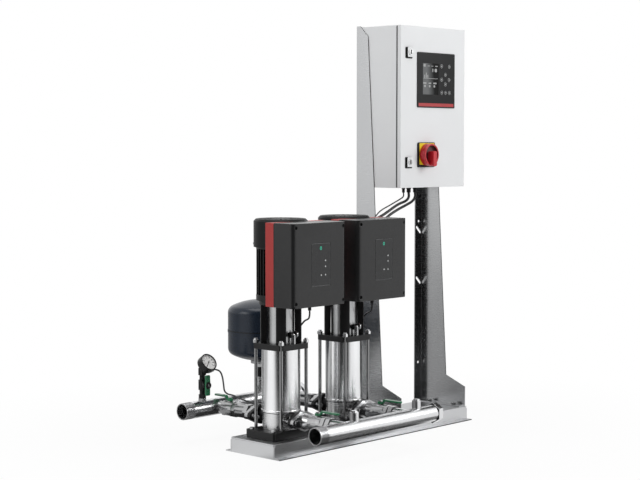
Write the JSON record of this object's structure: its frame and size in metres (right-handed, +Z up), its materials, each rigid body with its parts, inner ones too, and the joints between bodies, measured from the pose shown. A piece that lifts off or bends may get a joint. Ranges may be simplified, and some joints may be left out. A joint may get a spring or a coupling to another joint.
{
  "type": "booster pump set",
  "caption": "Pressure booster with upright multistage pumps and speed drives on a steel base, suction and discharge manifolds, a diaphragm tank, a gauge and a control cabinet on legs.",
  "frame": {"origin": "middle of the base frame at floor level, between its four floor bolt holes", "axes": "+X along the base towards the control cabinet, +Y from the suction side in front to the discharge side, +Z up"},
  "size_m": [1.109, 0.8185, 1.514],
  "materials": {
    "satin_stainless": "satin brushed stainless sheet",
    "polished_steel": "mirror polished stainless",
    "fittings_steel": "bright machined steel",
    "inner_steel": "plain steel",
    "black_casting": "black coated casting",
    "motor_black": "black satin paint",
    "fan_cover_black": "black satin paint",
    "frame_red": "dark red moulding",
    "cover_grey": "dark grey moulding",
    "tank_blue": "dark blue grey enamel",
    "valve_brass": "nickel plated brass",
    "black_plastic": "black moulding",
    "sensor_grey": "turned steel",
    "gauge_glass": "clear pane",
    "needle_black": "matt black",
    "lever_green": "green coated steel",
    "cabinet_grey": "light grey powder coat",
    "seal_black": "foamed seal",
    "cable_black": "black sheath",
    "cable_grey": "grey sheath",
    "panel_black": "black foil on a black housing",
    "switch_yellow": "yellow moulding",
    "switch_red": "red moulding",
    "lock_zinc": "zinc die casting"
  },
  "bodies": {
    "frame": {"base_frame": "satin_stainless", "left_leg": "satin_stainless", "right_leg": "satin_stainless", "suction_manifold": "polished_steel", "discharge_manifold": "polished_steel", "pump_1_sleeve": "polished_steel", "pump_2_sleeve": "polished_steel", "coupling_guards": "polished_steel", "manifold_caps": "polished_steel", "fasteners": "fittings_steel", "staybolts": "fittings_steel", "counter_flanges": "fittings_steel", "ball_valves": "fittings_steel", "pipe_unions": "fittings_steel", "pump_1_chamber": "fittings_steel", "pump_2_chamber": "fittings_steel", "stage_stacks": "inner_steel", "mounting_plate": "inner_steel", "pump_1_foot": "black_casting", "pump_2_foot": "black_casting", "pump_1_head": "black_casting", "pump_2_head": "black_casting", "motor_1_housing": "motor_black", "motor_2_housing": "motor_black", "motor_1_fan_cover": "fan_cover_black", "motor_2_fan_cover": "fan_cover_black", "drive_1_frame": "frame_red", "drive_2_frame": "frame_red", "drive_1_cover": "cover_grey", "drive_2_cover": "cover_grey", "tank": "tank_blue", "tank_valve": "valve_brass", "gauge_valve": "black_plastic", "gauge_case": "black_plastic", "cable_glands": "black_plastic", "vent_plugs": "black_plastic", "pressure_sensor": "sensor_grey", "gauge_lens": "gauge_glass", "cabinet_body": "cabinet_grey", "door_seal": "seal_black", "power_cable_1": "cable_black", "power_cable_2": "cable_black", "bus_cable": "cable_black", "probe_cable_1": "cable_black", "probe_cable_2": "cable_black", "meter_cable": "cable_grey"},
    "door": {"door_panel": "cabinet_grey", "hmi_panel": "panel_black", "switch_plate": "switch_yellow"},
    "upper_lock": {"upper_lock": "lock_zinc"},
    "lower_lock": {"lower_lock": "lock_zinc"},
    "switch_handle": {"switch_handle": "switch_red"},
    "suction_lever_1": {"suction_lever_1": "lever_green"},
    "suction_lever_2": {"suction_lever_2": "lever_green"},
    "discharge_lever_1": {"discharge_lever_1": "lever_green"},
    "discharge_lever_2": {"discharge_lever_2": "lever_green"},
    "gauge_handle": {"gauge_handle": "lever_green"},
    "gauge_needle": {"gauge_needle": "needle_black"},
    "pump_1_rotor": {"pump_1_rotor": "inner_steel"},
    "pump_2_rotor": {"pump_2_rotor": "inner_steel"}
  },
  "joints": [
    {"name": "door_swing", "type": "hinge", "parent": "frame", "child": "door", "pos_m": [0.534, -0.07, 1.21], "axis": [0, 0, 1], "range_deg": [0, 130]},
    {"name": "upper_lock_turn", "type": "hinge", "parent": "door", "child": "upper_lock", "pos_m": [0.196, -0.089, 1.412], "axis": [0, -1, 0], "range_deg": [0, 90]},
    {"name": "lower_lock_turn", "type": "hinge", "parent": "door", "child": "lower_lock", "pos_m": [0.196, -0.089, 1.006], "axis": [0, -1, 0], "range_deg": [0, 90]},
    {"name": "switch_turn", "type": "hinge", "parent": "door", "child": "switch_handle", "pos_m": [0.2945, -0.089, 1.0325], "axis": [0, -1, 0], "range_deg": [0, 90]},
    {"name": "suction_lever_1_turn", "type": "hinge", "parent": "frame", "child": "suction_lever_1", "pos_m": [-0.39, -0.178, 0.116], "axis": [0, 0, 1], "range_deg": [0, 90]},
    {"name": "discharge_lever_1_turn", "type": "hinge", "parent": "frame", "child": "discharge_lever_1", "pos_m": [-0.39, 0.26, 0.116], "axis": [0, 0, 1], "range_deg": [0, 90]},
    {"name": "suction_lever_2_turn", "type": "hinge", "parent": "frame", "child": "suction_lever_2", "pos_m": [-0.063, -0.178, 0.116], "axis": [0, 0, 1], "range_deg": [0, 90]},
    {"name": "discharge_lever_2_turn", "type": "hinge", "parent": "frame", "child": "discharge_lever_2", "pos_m": [-0.063, 0.26, 0.116], "axis": [0, 0, 1], "range_deg": [0, 90]},
    {"name": "gauge_handle_turn", "type": "hinge", "parent": "frame", "child": "gauge_handle", "pos_m": [-0.46, 0.3, 0.203], "axis": [0, 1, 0], "range_deg": [0, 90]},
    {"name": "gauge_needle_turn", "type": "hinge", "parent": "frame", "child": "gauge_needle", "pos_m": [-0.46, 0.332, 0.264], "axis": [0, 0.8192, -0.5736], "range_deg": [0, 270]},
    {"name": "pump_1_spin", "type": "hinge", "parent": "frame", "child": "pump_1_rotor", "pos_m": [-0.39, 0, 0.4], "axis": [0, 0, 1], "continuous": true},
    {"name": "pump_2_spin", "type": "hinge", "parent": "frame", "child": "pump_2_rotor", "pos_m": [-0.063, 0, 0.4], "axis": [0, 0, 1], "continuous": true}
  ]
}
